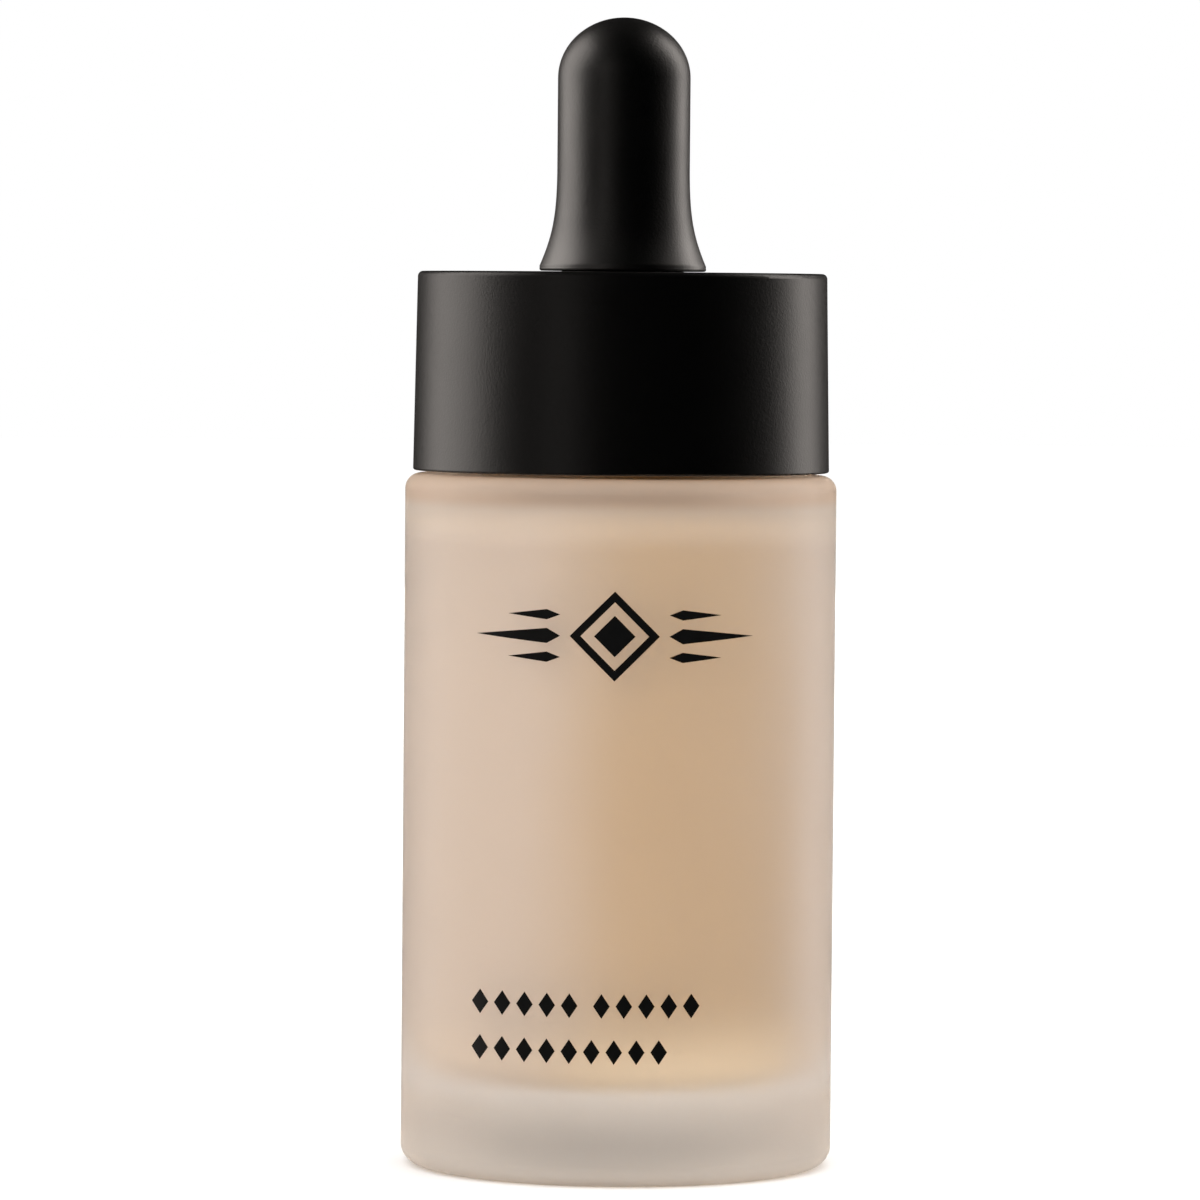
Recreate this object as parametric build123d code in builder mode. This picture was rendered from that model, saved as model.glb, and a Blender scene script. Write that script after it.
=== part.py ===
from build123d import *
from math import atan, degrees
import os

# Foundation bottle with a screw-on dropper, in millimetres.
# Origin: centre of the base on the surface it stands on. +Z is up, the printed front faces -Y.

# ---------------------------------------------------------------- driving dimensions
# Glass body
body_d = 36.5             # outside of the straight barrel
shoulder_z = 58.5         # height of the flat shoulder
side_wall = 3.45          # frosted side wall
base_thickness = 7.5      # heavy clear base
shoulder_thickness = 2.1  # glass above the cavity
base_corner_r = 1.7
shoulder_corner_r = 1.3
cavity_floor_r = 2.6
cavity_top_r = 3.0
neck_root_r = 0.8
bore_entry_r = 1.0
recess_d = 24.0           # push-up under the base
recess_depth = 0.8
headspace = 1.2           # air between the foundation and the cavity's roof
roof_band = 0.01          # how near a face lies to the cavity's roof to count as it

# Neck finish, a 20 mm screw neck
neck_d = 17.5
neck_bore_d = 12.6
rim_r = 0.5
thread_pitch = 3.175
thread_height = 1.1       # radial height of the glass thread
neck_thread_turns = 1.5
cap_thread_turns = 1.0
thread_drop = 1.8         # rim down to the centre of the thread's upper end
thread_runout_h = 0.9 * thread_pitch  # height of the flat that ends the glass thread
glass_thread_root_w = 2.0
glass_thread_crest_w = 0.9
cap_thread_root_w = 1.7
cap_thread_crest_w = 0.7
thread_bite = 0.15        # how far a ridge is sunk into the wall that carries it
thread_crest_r = 0.2
thread_clearance = 0.25   # radial, glass crest to cap root and cap crest to glass neck

# Cap shell and the threaded closure inside it
cap_gap = 0.25            # open line between shoulder and cap
cap_h = 16.8
cap_bottom_d = 35.2
cap_top_d = 34.6
shell_wall = 1.2          # at the cap's narrow top
shell_top = 1.2
shell_edge_r = 0.45
shell_rim_r = 0.2
snap_bead_h = 0.5
snap_bead_depth = 0.2
closure_wall = 1.8
closure_ceiling = 1.25
closure_raise = 0.6       # closure skirt stops this far above the cap's lower edge
rib_count = 12
rib_w = 0.9
rib_raise = 2.2           # ribs stop this far above the closure skirt's lower edge
shell_fit = 0.02          # between the closure and the shell pressed over it

# Rubber bulb
bulb_d = 11.2
bulb_h = 21.5             # above the cap's top face
dome_h = 5.1
bulb_wall = 1.5
skirt_d = 14.1
skirt_lip = 0.5
skirt_edge_r = 0.2
flare_h = 8.5
flare_upper_handle = (0.02, 0.52)  # Bezier handles, as shares of the skirt's overhang
flare_lower_handle = (0.31, 0.34)  # and of the flare's height
quarter_handle = 0.5523   # Bezier handle that draws a quarter of a unit circle
bulb_neck_d = 9.9
bulb_flange_d = 15.4
bulb_flange_t = 1.2
bulb_neck_clearance = 0.05
socket_h = 2.6            # above the cap's top face, where the air chamber starts
socket_cone_h = 0.75

# Wiper insert
wiper_flange_d = 16.2
wiper_flange_t = 0.8
wiper_depth = 9.0
wiper_wall = 0.9
wiper_cone_h = 2.4
wiper_lip_t = 0.7
wiper_fit = 0.02          # plug in the neck bore
wiper_clearance = 0.08    # orifice around the pipette

# Glass pipette and what stands in it
pipette_d = 7.0
pipette_wall = 1.0
pipette_floor_gap = 3.0   # tip above the cavity floor
pipette_stub = 0.75       # reach above the cap's top face
tip_d = 3.2
tip_wall = 0.75
tip_taper_h = 14.0
tip_mouth_h = 1.5
pipette_edge_r = 0.3
socket_clearance = 0.05
column_h = 32.0
column_gap = 0.06
column_raise = 0.4
fluid_hole_gap = 0.3      # foundation around the pipette

# Shade sticker in the base recess
label_d = 20.0
label_t = 0.1

# ---------------------------------------------------------------- what follows from them
body_r = body_d / 2
cavity_r = body_r - side_wall
cavity_top_z = shoulder_z - shoulder_thickness
fill_z = cavity_top_z - headspace

cap_bottom_z = shoulder_z + cap_gap
cap_top_z = cap_bottom_z + cap_h
ceiling_top_z = cap_top_z - shell_top
ceiling_z = ceiling_top_z - closure_ceiling
flange_z = ceiling_z - bulb_flange_t
rim_z = flange_z - wiper_flange_t

neck_r = neck_d / 2
neck_bore_r = neck_bore_d / 2
thread_r = neck_r + thread_height
cap_thread_r = thread_r + thread_clearance
cap_crest_r = neck_r + thread_clearance
thread_top_z = rim_z - thread_drop
thread_bottom_z = thread_top_z - neck_thread_turns * thread_pitch

shell_bore_r = cap_top_d / 2 - shell_wall
closure_r = cap_thread_r + closure_wall
closure_z = cap_bottom_z + closure_raise
rib_z = closure_z + rib_raise

dome_z = cap_top_z + bulb_h - dome_h
bulb_r = bulb_d / 2
bulb_neck_r = bulb_neck_d / 2
bulb_hole_r = bulb_neck_r + bulb_neck_clearance
pipette_r = pipette_d / 2
pipette_bore_r = pipette_r - pipette_wall
tip_z = base_thickness + pipette_floor_gap
taper_z = tip_z + tip_taper_h
tip_r = tip_d / 2
tip_bore_r = tip_r - tip_wall


def thread_ridge(start_z, turns, root_r, crest_r, root_w, crest_w):
    """One helical ridge from root_r to crest_r, sunk thread_bite into its wall."""
    rise = crest_r - root_r
    sunk = -thread_bite if rise > 0 else thread_bite
    with BuildPart() as ridge:
        with BuildLine() as path:
            Helix(thread_pitch, turns * thread_pitch, root_r, center=(0, 0, start_z))
        start = Plane(origin=path.line @ 0, x_dir=(1, 0, 0), z_dir=path.line % 0)
        with BuildSketch(start) as section:
            with BuildLine():
                Polyline(
                    (sunk, -root_w / 2),
                    (rise, -crest_w / 2),
                    (rise, crest_w / 2),
                    (sunk, root_w / 2),
                    close=True,
                )
            make_face()
            crest = section.vertices().sort_by(Axis.X, reverse=rise > 0)[:2]
            fillet(crest, thread_crest_r)
        sweep(path=path.line, is_frenet=True)
    return ridge.part


# ---------------------------------------------------------------- glass bottle
with BuildPart() as cavity:
    with BuildSketch(Plane.XY.offset(base_thickness)):
        Circle(cavity_r)
    extrude(amount=cavity_top_z - base_thickness)
    fillet(cavity.edges().group_by(Axis.Z)[0], cavity_floor_r)
    fillet(cavity.edges().group_by(Axis.Z)[-1], cavity_top_r)

with BuildPart() as neck_thread:
    add(
        thread_ridge(
            thread_bottom_z,
            neck_thread_turns,
            neck_r,
            thread_r,
            glass_thread_root_w,
            glass_thread_crest_w,
        )
    )
    # Both ends run out into the neck along a flat tangent to it.
    for turn in (0, neck_thread_turns):
        end_z = thread_bottom_z + turn * thread_pitch
        with Locations(Rotation(0, 0, 360 * turn) * Pos(neck_r + thread_height, 0, end_z)):
            Box(2 * thread_height, 2 * thread_r, thread_runout_h, mode=Mode.SUBTRACT)

with BuildPart() as glass_bottle:
    with BuildSketch():
        Circle(body_r)
    extrude(amount=shoulder_z)
    fillet(glass_bottle.edges().group_by(Axis.Z)[0], base_corner_r)
    fillet(glass_bottle.edges().group_by(Axis.Z)[-1], shoulder_corner_r)
    with BuildSketch(Plane.XY.offset(shoulder_z)):
        Circle(neck_r)
    extrude(amount=rim_z - shoulder_z)
    shoulder = glass_bottle.faces().filter_by(Axis.Z).sort_by(Axis.Z)[-2]
    fillet(shoulder.edges().sort_by(SortBy.LENGTH)[0], neck_root_r)
    add(cavity.part, mode=Mode.SUBTRACT)
    with BuildSketch(Plane.XY.offset(rim_z)):
        Circle(neck_bore_r)
    extrude(amount=cavity_top_z - rim_z - bore_entry_r, mode=Mode.SUBTRACT)
    flat_faces = glass_bottle.faces().filter_by(Axis.Z)
    roof = flat_faces.filter_by_position(Axis.Z, cavity_top_z - roof_band, cavity_top_z + roof_band)
    fillet(roof.edges().sort_by(SortBy.LENGTH)[0], bore_entry_r)
    fillet(glass_bottle.edges().group_by(Axis.Z)[-1], rim_r)
    with BuildSketch():
        Circle(recess_d / 2)
    extrude(amount=recess_depth, taper=45, mode=Mode.SUBTRACT)
    add(neck_thread.part)
glass_bottle.part.label = "glass_bottle"

# ---------------------------------------------------------------- foundation in the bottle
with BuildPart() as foundation_fluid:
    add(cavity.part)
    split(bisect_by=Plane.XY.offset(fill_z), keep=Keep.BOTTOM)
    with BuildSketch(Plane.XY.offset(fill_z)):
        Circle(pipette_r + fluid_hole_gap)
    extrude(amount=tip_z - fluid_hole_gap - fill_z, mode=Mode.SUBTRACT)
foundation_fluid.part.label = "foundation_fluid"

# ---------------------------------------------------------------- wiper insert in the neck
with BuildPart() as neck_wiper:
    plug_r = neck_bore_r - wiper_fit
    orifice_r = pipette_r + wiper_clearance
    plug_z = rim_z - wiper_depth
    with BuildSketch(Plane.XZ):
        with BuildLine():
            Polyline(
                (plug_r - wiper_wall, flange_z),
                (wiper_flange_d / 2, flange_z),
                (wiper_flange_d / 2, rim_z),
                (plug_r, rim_z),
                (plug_r, plug_z + wiper_cone_h),
                (orifice_r, plug_z),
                (orifice_r, plug_z + wiper_lip_t),
                (plug_r - wiper_wall, plug_z + wiper_cone_h + wiper_lip_t),
                close=True,
            )
        make_face()
    revolve(axis=Axis.Z)
neck_wiper.part.label = "neck_wiper"

# ---------------------------------------------------------------- threaded closure
with BuildPart() as inner_closure:
    with BuildSketch(Plane.XY.offset(closure_z)):
        Circle(closure_r)
        Circle(cap_thread_r, mode=Mode.SUBTRACT)
    extrude(amount=ceiling_z - closure_z)
    with BuildSketch(Plane.XY.offset(ceiling_z)):
        Circle(shell_bore_r - shell_fit)
        Circle(bulb_hole_r, mode=Mode.SUBTRACT)
    extrude(amount=closure_ceiling)
    # Radial ribs centre the closure in the shell.
    rib_start = closure_r - closure_wall / 2
    rib_length = shell_bore_r - shell_fit - rib_start
    with BuildSketch(Plane.XY.offset(rib_z)):
        with PolarLocations(rib_start, rib_count):
            Rectangle(rib_length, rib_w, align=(Align.MIN, Align.CENTER))
    extrude(amount=ceiling_z - rib_z)
    add(
        thread_ridge(
            thread_bottom_z - thread_pitch / 2,
            cap_thread_turns,
            cap_thread_r,
            cap_crest_r,
            cap_thread_root_w,
            cap_thread_crest_w,
        )
    )
inner_closure.part.label = "inner_closure"

# ---------------------------------------------------------------- black cap shell
with BuildPart() as outer_cap_shell:
    cap_taper = degrees(atan((cap_bottom_d - cap_top_d) / 2 / cap_h))
    with BuildSketch(Plane.XY.offset(cap_bottom_z)):
        Circle(cap_bottom_d / 2)
    extrude(amount=cap_h, taper=cap_taper)
    fillet(outer_cap_shell.edges().group_by(Axis.Z)[-1], shell_edge_r)
    with BuildSketch(Plane.XY.offset(cap_bottom_z)):
        Circle(shell_bore_r)
    extrude(amount=cap_h - shell_top, mode=Mode.SUBTRACT)
    with BuildSketch(Plane.XY.offset(cap_top_z)):
        Circle(bulb_hole_r)
    extrude(amount=-shell_top, mode=Mode.SUBTRACT)
    fillet(outer_cap_shell.edges().group_by(Axis.Z)[0], shell_rim_r)
    # A bead inside the shell snaps under the closure's ribs.
    with BuildSketch(Plane.XZ):
        with BuildLine():
            Polyline(
                (shell_bore_r + shell_fit, rib_z - snap_bead_h),
                (shell_bore_r, rib_z - snap_bead_h),
                (shell_bore_r - snap_bead_depth, rib_z - snap_bead_h / 2),
                (shell_bore_r, rib_z),
                (shell_bore_r + shell_fit, rib_z),
                close=True,
            )
        make_face()
    revolve(axis=Axis.Z)
outer_cap_shell.part.label = "outer_cap_shell"

# ---------------------------------------------------------------- rubber bulb
def dome_curve(radius, height):
    """A quarter ellipse from the bulb's straight side up to its crown."""
    return Bezier(
        (radius, dome_z),
        (radius, dome_z + quarter_handle * height),
        (quarter_handle * radius, dome_z + height),
        (0, dome_z + height),
    )


with BuildPart() as rubber_bulb:
    skirt_r = skirt_d / 2
    overhang = skirt_r - bulb_r
    upper_x, upper_y = flare_upper_handle
    lower_x, lower_y = flare_lower_handle
    chamber_r = bulb_r - bulb_wall
    socket_r = pipette_r + socket_clearance
    with BuildSketch(Plane.XZ):
        with BuildLine():
            dome_curve(bulb_r, dome_h)
            Line((bulb_r, dome_z), (bulb_r, cap_top_z + flare_h))
            Bezier(
                (bulb_r, cap_top_z + flare_h),
                (bulb_r + upper_x * overhang, cap_top_z + upper_y * flare_h),
                (bulb_r + lower_x * overhang, cap_top_z + lower_y * flare_h),
                (skirt_r, cap_top_z + skirt_lip),
            )
            Polyline(
                (skirt_r, cap_top_z + skirt_lip),
                (skirt_r, cap_top_z + skirt_edge_r),
                (skirt_r - skirt_edge_r, cap_top_z),
                (bulb_neck_r, cap_top_z),
                (bulb_neck_r, ceiling_z),
                (bulb_flange_d / 2, ceiling_z),
                (bulb_flange_d / 2, flange_z),
                (0, flange_z),
                (0, dome_z + dome_h),
            )
        make_face()
        # Pipette socket, then the air chamber under the dome.
        with BuildLine():
            dome_curve(chamber_r, dome_h - bulb_wall)
            Polyline(
                (chamber_r, dome_z),
                (chamber_r, cap_top_z + socket_h),
                (socket_r, cap_top_z + socket_h - socket_cone_h),
                (socket_r, flange_z),
                (0, flange_z),
                (0, dome_z + dome_h - bulb_wall),
            )
        make_face(mode=Mode.SUBTRACT)
    revolve(axis=Axis.Z)
rubber_bulb.part.label = "rubber_bulb"

# ---------------------------------------------------------------- glass pipette
with BuildPart() as glass_pipette:
    pipette_top_z = cap_top_z + pipette_stub
    with BuildSketch(Plane.XZ):
        with BuildLine():
            Polyline(
                (tip_bore_r, tip_z),
                (tip_r, tip_z),
                (tip_r, tip_z + tip_mouth_h),
                (pipette_r, taper_z),
                (pipette_r, pipette_top_z),
                (pipette_bore_r, pipette_top_z),
                (pipette_bore_r, taper_z),
                (tip_bore_r, tip_z + tip_mouth_h),
                close=True,
            )
        make_face()
    revolve(axis=Axis.Z)
    fillet(glass_pipette.edges().group_by(Axis.Z)[0], pipette_edge_r)
    fillet(glass_pipette.edges().group_by(Axis.Z)[-1], pipette_edge_r)
glass_pipette.part.label = "glass_pipette"

# ---------------------------------------------------------------- foundation in the pipette
with BuildPart() as pipette_fluid:
    column_z = tip_z + column_raise
    with BuildSketch(Plane.XZ):
        with BuildLine():
            Polyline(
                (0, column_z),
                (tip_bore_r - column_gap, column_z),
                (tip_bore_r - column_gap, tip_z + tip_mouth_h),
                (pipette_bore_r - column_gap, taper_z),
                (pipette_bore_r - column_gap, column_z + column_h),
                (0, column_z + column_h),
                close=True,
            )
        make_face()
    revolve(axis=Axis.Z)
pipette_fluid.part.label = "pipette_fluid"

# ---------------------------------------------------------------- shade sticker under the base
with BuildPart() as base_label:
    with BuildSketch(Plane.XY.offset(recess_depth - label_t)):
        Circle(label_d / 2)
    extrude(amount=label_t)
base_label.part.label = "base_label"

# ---------------------------------------------------------------- one STEP file per piece
os.makedirs("parts", exist_ok=True)
export_step(glass_bottle.part, "parts/glass_bottle.step")
export_step(foundation_fluid.part, "parts/foundation_fluid.step")
export_step(neck_wiper.part, "parts/neck_wiper.step")
export_step(inner_closure.part, "parts/inner_closure.step")
export_step(outer_cap_shell.part, "parts/outer_cap_shell.step")
export_step(rubber_bulb.part, "parts/rubber_bulb.step")
export_step(glass_pipette.part, "parts/glass_pipette.step")
export_step(pipette_fluid.part, "parts/pipette_fluid.step")
export_step(base_label.part, "parts/base_label.step")
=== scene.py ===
"""Looks of the frosted foundation bottle with its black dropper closure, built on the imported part."""
import bmesh
import bpy
import math
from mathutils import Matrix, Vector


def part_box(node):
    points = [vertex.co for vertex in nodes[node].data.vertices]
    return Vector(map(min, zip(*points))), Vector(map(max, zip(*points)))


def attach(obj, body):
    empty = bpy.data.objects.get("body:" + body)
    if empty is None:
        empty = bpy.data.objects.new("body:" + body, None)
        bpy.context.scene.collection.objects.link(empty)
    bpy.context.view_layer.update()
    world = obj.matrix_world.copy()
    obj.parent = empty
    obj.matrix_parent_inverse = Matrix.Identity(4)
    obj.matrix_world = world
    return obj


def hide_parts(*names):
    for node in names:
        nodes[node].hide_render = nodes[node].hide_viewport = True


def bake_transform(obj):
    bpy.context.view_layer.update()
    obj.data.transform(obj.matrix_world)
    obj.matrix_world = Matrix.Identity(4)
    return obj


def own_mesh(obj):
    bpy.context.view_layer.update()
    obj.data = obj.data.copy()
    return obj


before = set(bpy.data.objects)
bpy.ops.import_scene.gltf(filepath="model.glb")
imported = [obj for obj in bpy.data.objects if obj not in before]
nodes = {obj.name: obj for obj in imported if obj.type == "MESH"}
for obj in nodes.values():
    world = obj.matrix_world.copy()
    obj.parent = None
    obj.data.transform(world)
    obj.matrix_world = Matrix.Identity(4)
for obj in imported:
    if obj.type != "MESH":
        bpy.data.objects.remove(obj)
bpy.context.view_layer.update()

MM = 0.001

# ------------------------------------------------------------------ sizes, in millimetres
body_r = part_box("glass_bottle")[1].x / MM
fluid_low, fluid_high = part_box("foundation_fluid")
cavity_r = fluid_high.x / MM
floor_z = fluid_low.z / MM
fill_z = fluid_high.z / MM
HEADSPACE = 1.2
roof_z = fill_z + HEADSPACE
NECK_BORE_R = 6.3
SWATCH_R = 6.0
pipette_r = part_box("glass_pipette")[1].x / MM
tip_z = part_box("glass_pipette")[0].z / MM
cap_top_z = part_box("outer_cap_shell")[1].z / MM


# ------------------------------------------------------------------ node helpers
class Shader:
    """A material with one Principled node, and short ways to add the nodes that drive it."""

    def __init__(self, name, **values):
        self.material = bpy.data.materials.new(name)
        self.material.use_nodes = True
        self.tree = self.material.node_tree
        self.tree.nodes.clear()
        self.output = self.tree.nodes.new("ShaderNodeOutputMaterial")
        self.principled = self.tree.nodes.new("ShaderNodeBsdfPrincipled")
        self.tree.links.new(self.principled.outputs[0], self.output.inputs["Surface"])
        self.coordinates = self.tree.nodes.new("ShaderNodeTexCoord").outputs["Object"]
        for socket, value in values.items():
            self.principled.inputs[socket.replace("_", " ")].default_value = value

    def link(self, source, target):
        self.tree.links.new(source, target)

    def drive(self, socket, source):
        self.link(source, self.principled.inputs[socket])

    def put(self, value, target):
        """Link a socket, or set a plain value."""
        if isinstance(value, bpy.types.NodeSocket):
            self.link(value, target)
        else:
            target.default_value = value

    def maths(self, operation, a, b=0.0):
        n = self.tree.nodes.new("ShaderNodeMath")
        n.operation = operation
        self.put(a, n.inputs[0])
        self.put(b, n.inputs[1])
        return n.outputs[0]

    def stretched(self, x, y, z):
        """The object's coordinates, multiplied by x, y and z."""
        n = self.tree.nodes.new("ShaderNodeMapping")
        n.inputs["Scale"].default_value = (x, y, z)
        self.link(self.coordinates, n.inputs["Vector"])
        return n.outputs[0]

    def noise(self, size, detail, vector=None):
        """Noise from 0 to 1 whose features are about size metres across."""
        n = self.tree.nodes.new("ShaderNodeTexNoise")
        n.inputs["Scale"].default_value = 1 / size
        n.inputs["Detail"].default_value = detail
        self.link(vector or self.coordinates, n.inputs["Vector"])
        return n.outputs[0]

    def cells(self, size):
        """Distance to the nearest of scattered points, size metres apart."""
        n = self.tree.nodes.new("ShaderNodeTexVoronoi")
        n.inputs["Scale"].default_value = 1 / size
        self.link(self.coordinates, n.inputs["Vector"])
        return n.outputs["Distance"]

    def between(self, source, low, high, from_low=0.0, from_high=1.0, smooth=False):
        """source from from_low..from_high brought to low..high."""
        n = self.tree.nodes.new("ShaderNodeMapRange")
        n.interpolation_type = "SMOOTHSTEP" if smooth else "LINEAR"
        for i, v in enumerate((from_low, from_high, low, high)):
            n.inputs[i + 1].default_value = v
        self.link(source, n.inputs[0])
        return n.outputs[0]

    def mix(self, share, a, b):
        """Colour a brought to colour b by share, from 0 to 1."""
        n = self.tree.nodes.new("ShaderNodeMix")
        n.data_type = "RGBA"
        self.put(share, n.inputs[0])
        for value, socket in ((a, n.inputs[6]), (b, n.inputs[7])):
            self.put(value if isinstance(value, bpy.types.NodeSocket) else (*value, 1), socket)
        return n.outputs[2]

    def place(self):
        """(x, y, z, distance from the axis) of the surface point, in millimetres."""
        n = self.tree.nodes.new("ShaderNodeSeparateXYZ")
        self.link(self.stretched(1 / MM, 1 / MM, 1 / MM), n.inputs[0])
        x, y, z = n.outputs
        r = self.maths("SQRT", self.maths("ADD", self.maths("MULTIPLY", x, x), self.maths("MULTIPLY", y, y)))
        return x, y, z, r

    def bump(self, *layers):
        """Layers of (height from 0 to 1, its depth in metres), one on the other."""
        normal = None
        for height, depth in layers:
            n = self.tree.nodes.new("ShaderNodeBump")
            n.inputs["Strength"].default_value = 1.0
            n.inputs["Distance"].default_value = depth
            self.link(height, n.inputs["Height"])
            if normal:
                self.link(normal, n.inputs["Normal"])
            normal = n.outputs[0]
        self.drive("Normal", normal)

    def lets_lamps_through(self, tint):
        """Lamps reach what stands behind the glass, dimmed by tint."""
        path = self.tree.nodes.new("ShaderNodeLightPath")
        clear = self.tree.nodes.new("ShaderNodeBsdfTransparent")
        clear.inputs["Color"].default_value = (*tint, 1)
        mixed = self.tree.nodes.new("ShaderNodeMixShader")
        self.link(path.outputs["Is Shadow Ray"], mixed.inputs[0])
        self.link(self.principled.outputs[0], mixed.inputs[1])
        self.link(clear.outputs[0], mixed.inputs[2])
        self.link(mixed.outputs[0], self.output.inputs["Surface"])


def wear(node, shader):
    node.data.materials.clear()
    node.data.materials.append(shader.material)


# ------------------------------------------------------------------ materials
def frosted_glass():
    """Acid-frosted outside with a little milky haze, polished inside."""
    s = Shader("frosted_glass", IOR=1.5, Specular_IOR_Level=0.2)
    z, r = s.place()[2:]
    under_roof = s.maths("LESS_THAN", z, roof_z + 0.05)
    in_cavity = s.maths("MULTIPLY", s.maths("LESS_THAN", r, cavity_r + 0.07), under_roof)
    in_bore = s.maths("LESS_THAN", r, NECK_BORE_R + 0.1)
    above_floor = s.maths("GREATER_THAN", z, floor_z - 0.05)
    inside = s.maths("MULTIPLY", s.maths("MAXIMUM", in_cavity, in_bore), above_floor)
    outside = s.maths("SUBTRACT", 1.0, inside)
    thick_base = s.between(z, 0.16, 0, floor_z - 0.5, floor_z + 6.5, True)
    frost = s.maths("ADD", s.between(s.noise(0.004, 4), 0.47, 0.54, 0.3, 0.7), thick_base)
    polish = s.between(s.noise(0.006, 2), 0.02, 0.05)
    s.drive("Roughness", s.maths("ADD", s.maths("MULTIPLY", outside, frost),
                                 s.maths("MULTIPLY", inside, polish)))
    # Haze and warm tint are strongest at the shoulder, in a band just below it and in the thick foot. The
    # warm tints are a painted glow, light from the foundation painted into the glass; the extra haze lightens
    # the shade under the cap, at the fluid's top corner and near the floor.
    rim = s.between(z, 0, 1, roof_z - 4.2, roof_z - 1.6, True)
    shoulder = s.between(z, 0, 1, roof_z - 0.8, roof_z + 0.4, True)
    foot = s.between(z, 1, 0, 0, floor_z - 2, True)
    haze = s.maths("ADD", s.maths("MULTIPLY", rim, 0.11), s.maths("MULTIPLY", foot, 0.17))
    haze = s.maths("ADD", haze, s.between(z, 0.12, 0.21, roof_z + 0.4, roof_z + 1.8, True))
    s.drive("Transmission Weight", s.maths("SUBTRACT", 1.0, s.maths("MULTIPLY", outside, haze)))
    # Painted glow: the foot, the band below the shoulder and the shoulder are tinted warm, as if lit through
    # by the foundation.
    base = s.between(z, 1, 0, floor_z - 1.5, floor_z + 1, True)
    tint = s.mix(base, (0.94, 0.89, 0.85), (0.90, 0.815, 0.73))
    tint = s.mix(rim, tint, (0.955, 0.86, 0.75))
    s.drive("Base Color", s.mix(shoulder, tint, (0.88, 0.68, 0.52)))
    s.bump((s.noise(0.00035, 2), 0.000004), (s.noise(0.009, 2), 0.00004))
    s.lets_lamps_through((0.80, 0.78, 0.76))
    return s


def foundation(name):
    """Creamy liquid with soft drifts of pigment. Its tone is darker and more saturated towards the front
    right, which is painted shade, and lighter and warmer towards the floor, which is a painted glow.
    """
    s = Shader(name, Specular_IOR_Level=0.35)
    x, y, z, r = s.place()
    drift = s.noise(0.016, 3, s.stretched(1, 1, 0.4))
    # Painted shade: the tone darkens towards the front right, mixed with random drifts of pigment.
    facing = s.maths("SUBTRACT", s.maths("MULTIPLY", x, 0.36), s.maths("MULTIPLY", y, 0.93))
    towards = s.maths("DIVIDE", facing, s.maths("MAXIMUM", r, 1.0))
    shade_and_drift = s.maths("ADD", towards, s.between(drift, -0.15, 0.15))
    warm = s.between(shade_and_drift, 0, 1, 0.55, 1.02, True)
    tone = s.mix(warm, (0.77, 0.615, 0.475), (0.595, 0.382, 0.152))
    # Painted glow: a lighter warm colour towards the floor, strongest where the painted shade is.
    low = s.between(z, 1, 0, floor_z, floor_z + 8.5, True)
    glow = s.maths("MULTIPLY", low, s.between(warm, 0.25, 0.95))
    s.drive("Base Color", s.mix(glow, tone, (1.0, 0.79, 0.50)))
    s.drive("Roughness", s.between(s.noise(0.003, 3), 0.28, 0.42))
    s.bump((s.noise(0.005, 2), 0.00006))
    return s


def clear_glass():
    """Drawn glass tube: clear, with faint lengthwise draw lines and fire-polished ends."""
    s = Shader("pipette_glass", Base_Color=(0.90, 0.94, 0.92, 1), IOR=1.5, Transmission_Weight=1.0)
    s.drive("Roughness", s.between(s.noise(0.004, 3), 0.0, 0.035))
    s.bump((s.noise(0.0012, 2, s.stretched(1, 1, 0.04)), 0.000012))
    s.lets_lamps_through((0.88, 0.9, 0.89))
    return s


def satin_black():
    """Black lacquered plastic with a fine satin grain."""
    s = Shader("cap_plastic", Specular_IOR_Level=0.85)
    grain = s.noise(0.00016, 2)
    cloud = s.noise(0.007, 3)
    s.drive("Base Color", s.mix(cloud, (0.0004, 0.0004, 0.0005), (0.0009, 0.0008, 0.0007)))
    s.drive("Roughness", s.maths("ADD", s.between(cloud, 0.35, 0.40), s.between(grain, 0.0, 0.05)))
    s.bump((grain, 0.000013), (s.cells(0.0003), 0.000005))
    return s


def moulded_black():
    """Plain black moulded plastic, a little worn."""
    s = Shader("closure_plastic")
    s.drive("Base Color", s.mix(s.noise(0.005, 3), (0.012, 0.012, 0.013), (0.02, 0.02, 0.02)))
    s.drive("Roughness", s.between(s.noise(0.002, 4), 0.38, 0.52))
    s.bump((s.noise(0.0005, 3), 0.00001))
    return s


def rubber():
    """Soft matte black rubber with a fine bloom, glossier at its flared foot."""
    s = Shader("bulb_rubber", Specular_IOR_Level=1.0, Coat_Weight=0.6, Coat_Roughness=0.44)
    bloom = s.noise(0.004, 4)
    z = s.place()[2]
    s.drive("Coat IOR", s.between(z, 2.1, 1.5, cap_top_z + 0.95, cap_top_z + 4.45, True))
    s.drive("Base Color", s.mix(bloom, (0.0004, 0.0004, 0.0005), (0.0009, 0.0008, 0.0007)))
    s.drive("Roughness", s.between(bloom, 0.39, 0.46, 0.3, 0.7))
    s.bump((s.noise(0.0002, 2), 0.000024), (s.noise(0.003, 2), 0.00002))
    return s


def natural_plastic():
    """Unpigmented polyethylene, slightly see-through."""
    s = Shader("wiper_plastic", Subsurface_Weight=0.3, Subsurface_Scale=0.001)
    s.drive("Base Color", s.mix(s.noise(0.004, 3), (0.80, 0.79, 0.76), (0.88, 0.87, 0.84)))
    s.drive("Roughness", s.between(s.noise(0.0015, 3), 0.34, 0.5))
    s.bump((s.noise(0.0006, 3), 0.000012))
    return s


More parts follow.
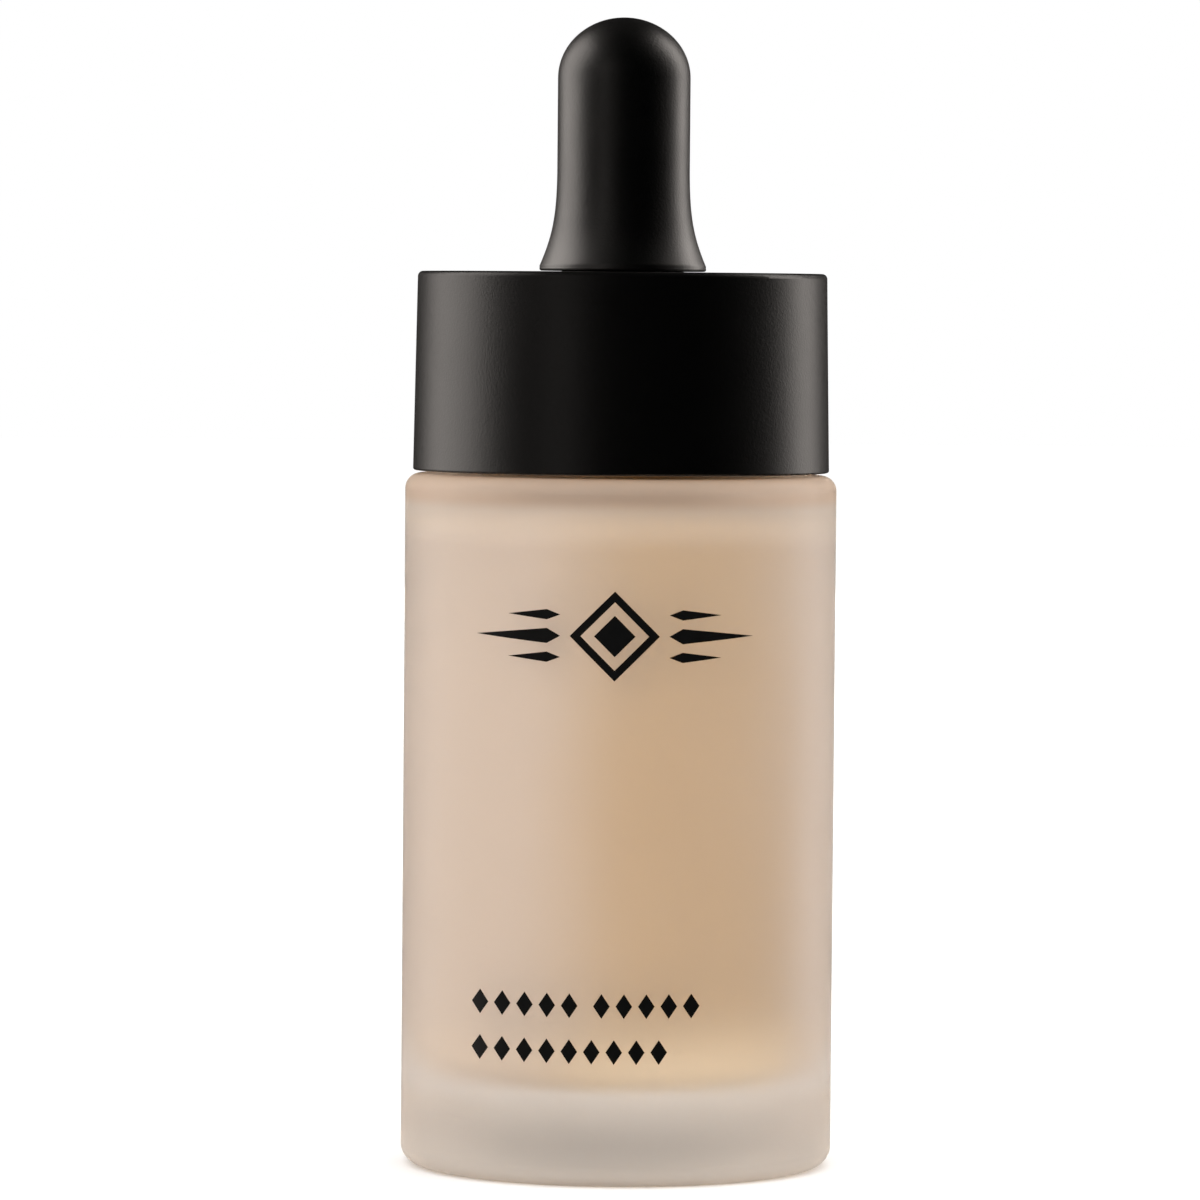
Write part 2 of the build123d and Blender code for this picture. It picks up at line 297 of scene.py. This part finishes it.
def film():
    """Matte sticker film with a plain round swatch of the shade in its middle."""
    s = Shader("label_film")
    r = s.place()[3]
    fibre = s.noise(0.0006, 4)
    paper = s.mix(fibre, (0.80, 0.79, 0.76), (0.87, 0.86, 0.84))
    swatch = s.between(r, 1, 0, SWATCH_R - 0.2, SWATCH_R)
    s.drive("Base Color", s.mix(swatch, paper, (0.66, 0.45, 0.27)))
    s.drive("Roughness", s.between(fibre, 0.45, 0.6))
    s.bump((fibre, 0.00001))
    return s


def ink():
    """Screen-printed black ink with a faint unevenness."""
    s = Shader("print_ink", Specular_IOR_Level=0.25)
    cover = s.noise(0.0007, 4)
    s.drive("Base Color", s.mix(cover, (0.0018, 0.0018, 0.0018), (0.0045, 0.0042, 0.004)))
    s.drive("Roughness", s.between(cover, 0.40, 0.55))
    s.bump((s.noise(0.00025, 2), 0.000006))
    return s


# ------------------------------------------------------------------ mesh helpers
SHARP_ANGLE = 38


def arc(cx, cz, radius, start, end, steps):
    """Points of a circular arc in the half plane (r, z), from start to end in degrees."""
    angles = [math.radians(start + (end - start) * i / steps) for i in range(steps + 1)]
    return [(cx + radius * math.cos(a), cz + radius * math.sin(a)) for a in angles]


def bezier(a, b, c, d, steps):
    """Points of a cubic curve from a to d, drawn towards b and c."""
    points = []
    for i in range(steps + 1):
        t = i / steps
        k = ((1 - t) ** 3, 3 * t * (1 - t) ** 2, 3 * t * t * (1 - t), t ** 3)
        points.append(tuple(sum(w * p[j] for w, p in zip(k, (a, b, c, d))) for j in (0, 1)))
    return points


def run(a, b, steps):
    """Points of a straight line from a to b."""
    return [(a[0] + (b[0] - a[0]) * i / steps, a[1] + (b[1] - a[1]) * i / steps) for i in range(steps + 1)]


def made_of(name, bm, shader):
    """A new object that holds what bm holds and wears one material."""
    bmesh.ops.recalc_face_normals(bm, faces=bm.faces)
    mesh = bpy.data.meshes.new(name)
    bm.to_mesh(mesh)
    bm.free()
    piece = bpy.data.objects.new(name, mesh)
    bpy.context.scene.collection.objects.link(piece)
    mesh.materials.append(shader.material)
    return piece


def turned(name, profile, shader, segments):
    """A closed solid of revolution about the Z axis. profile is (r, z) in millimetres, from axis to axis."""
    points = [p for i, p in enumerate(profile) if i == 0 or math.dist(p, profile[i - 1]) > 1e-6]
    bm = bmesh.new()
    rings = []
    for r, z in points:
        if r < 1e-6:
            rings.append([bm.verts.new((0, 0, z * MM))])
            continue
        ring = []
        for k in range(segments):
            a = 2 * math.pi * k / segments
            ring.append(bm.verts.new((r * MM * math.cos(a), r * MM * math.sin(a), z * MM)))
        rings.append(ring)
    for lower, upper in zip(rings, rings[1:]):
        for k in range(segments):
            k2 = (k + 1) % segments
            corners = [lower[k % len(lower)], lower[k2 % len(lower)]]
            corners += [upper[k2 % len(upper)], upper[k % len(upper)]]
            corners = list(dict.fromkeys(corners))
            if len(corners) > 2:
                bm.faces.new(corners)
    piece = made_of(name, bm, shader)
    piece.data.shade_smooth()
    piece.data.set_sharp_from_angle(angle=math.radians(SHARP_ANGLE))
    return piece


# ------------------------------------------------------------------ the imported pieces' finishes
wear(nodes["glass_bottle"], frosted_glass())
wear(nodes["neck_wiper"], natural_plastic())
wear(nodes["inner_closure"], moulded_black())
wear(nodes["outer_cap_shell"], satin_black())
wear(nodes["glass_pipette"], clear_glass())
wear(nodes["base_label"], film())

# ------------------------------------------------------------------ foundation in the bottle
# It wets the polished wall, so its outer face lies a hair inside the glass, and its surface climbs the wall.
WET = 0.05
FLOOR_R = 2.6
TOP_R = 3.0
ROOF_ROUND = 1.0
FILM = 0.3
FILM_H = 4.6
CLIMB = 1.1
DIP = 0.8
hole_r = pipette_r + 0.3
hole_z = tip_z - 0.3
bore_r = NECK_BORE_R + WET
film_r = bore_r - FILM
film_z = roof_z + FILM_H
profile = run((0, floor_z - WET), (cavity_r - FLOOR_R, floor_z - WET), 8)
profile += arc(cavity_r - FLOOR_R, floor_z + FLOOR_R, FLOOR_R + WET, -90, 0, 16)
profile += run((cavity_r + WET, floor_z + FLOOR_R), (cavity_r + WET, roof_z - TOP_R), 24)
profile += arc(cavity_r - TOP_R, roof_z - TOP_R, TOP_R + WET, 0, 90, 16)
profile += run((cavity_r - TOP_R, roof_z + WET), (bore_r + ROOF_ROUND, roof_z + WET), 6)
profile += arc(bore_r + ROOF_ROUND, roof_z + WET + ROOF_ROUND, ROOF_ROUND, -90, -180, 8)
profile += [(bore_r, film_z), (bore_r - FILM / 2, film_z + 0.1), (film_r, film_z - 0.2)]
profile += bezier((film_r, fill_z + 0.8), (film_r, fill_z + 0.2), (bore_r - 0.5, fill_z),
                  (bore_r - CLIMB, fill_z), 6)
profile += run((bore_r - CLIMB, fill_z), (hole_r + DIP, fill_z), 3)
profile += bezier((hole_r + DIP, fill_z), (hole_r + 0.3, fill_z), (hole_r, fill_z + 0.1),
                  (hole_r, fill_z + 0.45), 6)
profile += run((hole_r, fill_z + 0.45), (hole_r, hole_z), 8)
profile += [(0, hole_z)]
foundation_fill = turned("foundation_fill", profile, foundation("foundation"), segments=160)
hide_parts("foundation_fluid")
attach(foundation_fill, "bottle")

# ------------------------------------------------------------------ foundation in the pipette
# It wets its tube too, deep enough that it still fills the tapered tip when the rising tube makes it shorter.
column_low, column_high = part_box("pipette_fluid")
TUBE_WET = 0.16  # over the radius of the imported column
column_r = column_high.x / MM + TUBE_WET
column_z = column_low.z / MM
column_top = column_high.z / MM
TIP_R = 0.95
MOUTH_H = 1.5
TAPER_H = 14.0
MENISCUS = 0.8
profile = [(0, column_z), (TIP_R - 0.15, column_z), (TIP_R, column_z + 0.15)]
profile += run((TIP_R, tip_z + MOUTH_H), (column_r, tip_z + TAPER_H), 10)
profile += run((column_r, tip_z + TAPER_H), (column_r, column_top), 12)
profile += bezier((column_r, column_top), (column_r - 0.3, column_top - 0.6), (0.9, column_top - MENISCUS),
                  (0, column_top - MENISCUS), 10)
pipette_fill = turned("pipette_fill", profile, foundation("foundation_in_pipette"), segments=64)
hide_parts("pipette_fluid")
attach(pipette_fill, "fluid_column")
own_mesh(pipette_fill)

# ------------------------------------------------------------------ rubber bulb
bulb_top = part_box("rubber_bulb")[1].z / MM
foot_z = cap_top_z
flange_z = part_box("rubber_bulb")[0].z / MM
flange_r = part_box("rubber_bulb")[1].x / MM
FLANGE_T = 1.2
EDGE_R = 0.2
PLUG_H = 1.85
CHAMBER_H = 2.6
BULB_R = 5.6
DOME_H = 5.1
SKIRT_R = 7.05
FLARE_H = 8.5
WALL = 1.5
NECK_R = 4.95
socket_r = pipette_r + 0.05
chamber_r = BULB_R - WALL
over = SKIRT_R - BULB_R
dome_z = bulb_top - DOME_H
QUARTER = 0.5523  # Bezier handle of a quarter circle, over its radius


def dome(radius, height, steps):
    """The half plane of a rounded crown, from its rim up to the axis."""
    return bezier((radius, dome_z), (radius, dome_z + QUARTER * height), (QUARTER * radius, dome_z + height),
                  (0, dome_z + height), steps)


profile = list(reversed(dome(BULB_R, DOME_H, 28)))
profile += run((BULB_R, dome_z), (BULB_R, foot_z + FLARE_H), 12)
profile += bezier((BULB_R, foot_z + FLARE_H), (BULB_R + 0.02 * over, foot_z + 0.52 * FLARE_H),
                  (BULB_R + 0.31 * over, foot_z + 0.34 * FLARE_H), (SKIRT_R, foot_z + 0.5), 32)
profile += arc(SKIRT_R - EDGE_R, foot_z + 0.3, EDGE_R, 30, -90, 6)
profile += [(NECK_R + 0.3, foot_z + 0.1), (NECK_R, foot_z)]
profile += [(NECK_R, flange_z + FLANGE_T), (flange_r, flange_z + FLANGE_T), (flange_r, flange_z)]
profile += [(socket_r, flange_z), (socket_r, foot_z + PLUG_H)]
profile += run((chamber_r, foot_z + CHAMBER_H), (chamber_r, dome_z), 16)
profile += dome(chamber_r, DOME_H - WALL, 16)
soft_bulb = turned("soft_bulb", profile, rubber(), segments=128)
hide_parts("rubber_bulb")
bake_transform(soft_bulb)

# ------------------------------------------------------------------ ornament, in place of the lettering
INK_T = 0.03
INK_GAP = 0.004
CUT_STEP = 0.35


def cut_upright(flat, low, high):
    """Upright cuts through a flat shape, close enough together for it to follow the barrel."""
    cuts = int((high - low) / CUT_STEP)
    for i in range(1, cuts + 1):
        geometry = list(flat.verts) + list(flat.edges) + list(flat.faces)
        at = low + (high - low) * i / (cuts + 1)
        bmesh.ops.bisect_plane(flat, geom=geometry, plane_co=(at, 0, 0), plane_no=(1, 0, 0))


def wrapped(name, shapes, shader):
    """Flat shapes laid on the barrel as a thin film. Each is a list of (x, z) corners in millimetres, as
    seen from the front."""
    bm = bmesh.new()
    for shape in shapes:
        flat = bmesh.new()
        corners = [flat.verts.new((body_r * math.asin(x / body_r), 0, z)) for x, z in shape]
        flat.faces.new(corners)
        cut_upright(flat, min(v.co.x for v in corners), max(v.co.x for v in corners))
        made = {}
        for depth in (INK_GAP, INK_T):
            for v in flat.verts:
                a = v.co.x / body_r
                out = (body_r + depth) * MM
                made[v, depth] = bm.verts.new((out * math.sin(a), -out * math.cos(a), v.co.z * MM))
        for f in flat.faces:
            bm.faces.new([made[v, INK_T] for v in f.verts])
            bm.faces.new([made[v, INK_GAP] for v in reversed(f.verts)])
        for e in flat.edges:
            if len(e.link_faces) == 1:
                a, b = e.verts
                bm.faces.new([made[a, INK_GAP], made[b, INK_GAP], made[b, INK_T], made[a, INK_T]])
        flat.free()
    piece = made_of(name, bm, shader)
    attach(piece, "bottle")


def lozenge(x, z, half_w, half_h):
    """The four corners of a lozenge about (x, z)."""
    return [(x - half_w, z), (x, z - half_h), (x + half_w, z), (x, z + half_h)]


def lozenge_ring(x, z, half_w, half_h, line):
    """Four mitred sides of an open lozenge."""
    outer = lozenge(x, z, half_w, half_h)
    share = 1 - line * math.hypot(half_w, half_h) / (half_w * half_h)
    inner = lozenge(x, z, half_w * share, half_h * share)
    return [[outer[i], outer[(i + 1) % 4], inner[(i + 1) % 4], inner[i]] for i in range(4)]


black_ink = ink()
MARK_X = -0.4
MARK_Z = 45.6
RING_HALF = 3.7
RING_LINE = 0.62
HEART_HALF = 1.7
RAY_START = 4.5
RAY_END = 11.4
RAY_SHOULDER = 1.1
emblem = lozenge_ring(MARK_X, MARK_Z, RING_HALF, RING_HALF, RING_LINE)
emblem += [lozenge(MARK_X, MARK_Z, HEART_HALF, HEART_HALF)]
for side in (-1, 1):
    inner_end = MARK_X + side * RAY_START
    outer_end = MARK_X + side * RAY_END
    widest = inner_end + side * RAY_SHOULDER
    for dz, reach, half in ((0.0, 1.0, 0.62), (1.75, 0.62, 0.42), (-1.75, 0.62, 0.42)):
        end = inner_end + (outer_end - inner_end) * reach
        ray_z = MARK_Z + dz
        emblem.append([(inner_end, ray_z), (widest, ray_z - half), (end, ray_z), (widest, ray_z + half)])
wrapped("printed_emblem", emblem, black_ink)

ROW_START = -11.3
BEAD_STEP = 1.85
WORD_GAP = 0.8
BEAD_HALF_W = 0.68
BEAD_HALF_H = 1.02
beads = []
for row_z, count, gap_at in ((15.1, 10, 4), (11.3, 9, -1)):
    at = ROW_START
    for i in range(count):
        beads.append(lozenge(at, row_z, BEAD_HALF_W, BEAD_HALF_H))
        at += BEAD_STEP + (WORD_GAP if i == gap_at else 0)
wrapped("printed_rows", beads, black_ink)

# ------------------------------------------------------------------ floor
bpy.ops.mesh.primitive_circle_add(vertices=96, radius=3.0, fill_type="NGON", location=(0, 0, 0))
floor = bpy.context.object
floor.name = "floor"
pale = Shader("floor", Specular_IOR_Level=0.0, Roughness=0.7)
pale.drive("Base Color", pale.mix(pale.noise(0.4, 2), (0.925, 0.925, 0.925), (0.935, 0.935, 0.935)))
floor.data.materials.append(pale.material)
floor.visible_glossy = False

# ------------------------------------------------------------------ surroundings
world = bpy.data.worlds.new("studio")
bpy.context.scene.world = world
world.use_nodes = True
tree = world.node_tree
tree.nodes.clear()
path = tree.nodes.new("ShaderNodeLightPath")
surround = None
# Seen directly and through glass it is white; it lights matt surfaces softly; shiny ones mirror a dim room.
for rays, strength in ((None, 1.0), ("Is Diffuse Ray", 1.09), ("Is Glossy Ray", 0.002)):
    background = tree.nodes.new("ShaderNodeBackground")
    background.inputs["Color"].default_value = (1, 1, 1, 1)
    background.inputs["Strength"].default_value = strength
    if surround:
        mixed = tree.nodes.new("ShaderNodeMixShader")
        tree.links.new(path.outputs[rays], mixed.inputs[0])
        tree.links.new(surround, mixed.inputs[1])
        tree.links.new(background.outputs[0], mixed.inputs[2])
        surround = mixed.outputs[0]
    else:
        surround = background.outputs[0]
out = tree.nodes.new("ShaderNodeOutputWorld")
tree.links.new(surround, out.inputs["Surface"])


# ------------------------------------------------------------------ lamps
def soft_box(name, azimuth, elevation, distance, width, height, watts, mirrored):
    """A soft box aimed at the bottle. azimuth 0 is the camera's side, positive to its right.
    A mirrored one makes the highlights on the black parts, the others light the matt ones."""
    lamp = bpy.data.lights.new(name, "AREA")
    lamp.shape = "RECTANGLE"
    lamp.size = width
    lamp.size_y = height
    lamp.energy = watts
    box = bpy.data.objects.new(name, lamp)
    bpy.context.scene.collection.objects.link(box)
    a, e = math.radians(azimuth), math.radians(elevation)
    aim = Vector((0, 0, 0.045))
    away = Vector((math.sin(a) * math.cos(e), -math.cos(a) * math.cos(e), math.sin(e)))
    box.location = aim + away * distance
    box.rotation_euler = (-away).to_track_quat("-Z", "Y").to_euler()
    box.visible_camera = False
    if mirrored:
        lamp.color = (1.0, 0.93, 0.875)
    box.visible_glossy = mirrored
    box.visible_diffuse = not mirrored
    box.visible_transmission = not mirrored
    return box


# name, azimuth, elevation, distance, width, height, watts
soft_box("left_sheet", -108, 17, 1.0, 0.95, 1.3, 7.7, mirrored=True)
soft_box("right_sheet", 121, 17, 1.0, 0.44, 1.3, 4.8, mirrored=True)
soft_box("front_strip", -34, 12, 1.1, 0.20, 0.9, 0.30, mirrored=True)
soft_box("left_box", -100, 20, 1.0, 0.9, 1.3, 0.7, mirrored=False)
soft_box("right_box", 75, 20, 1.0, 0.7, 1.3, 2.7, mirrored=False)
soft_box("fill_box", -25, 25, 1.1, 0.7, 0.7, 3.0, mirrored=False)
back_box = soft_box("back_box", 175, 25, 1.1, 0.7, 0.9, 2.2, mirrored=False)
back_box.visible_transmission = False  # it stands where it would shine straight through the glass
soft_box("top_box", 0, 88, 1.2, 1.3, 1.3, 3, mirrored=False)

# ------------------------------------------------------------------ camera, in metres and radians
CAMERA_BACK = 0.600
CAMERA_UP = 0.07335
PITCH = 0.0425
ROLL = 0.0084
camera_data = bpy.data.cameras.new("camera")
camera_data.sensor_width = 36.0
camera_data.lens = 212.7
camera_data.shift_x = -0.01663
camera_data.clip_start = 0.01
camera_data.clip_end = 20.0
camera = bpy.data.objects.new("camera", camera_data)
bpy.context.scene.collection.objects.link(camera)
camera.location = (0, -CAMERA_BACK, CAMERA_UP)
look = Matrix.Rotation(math.pi / 2 - PITCH, 3, "X") @ Matrix.Rotation(ROLL, 3, "Z")
camera.rotation_euler = look.to_euler()
bpy.context.scene.camera = camera
bpy.context.scene.view_settings.view_transform = "Standard"
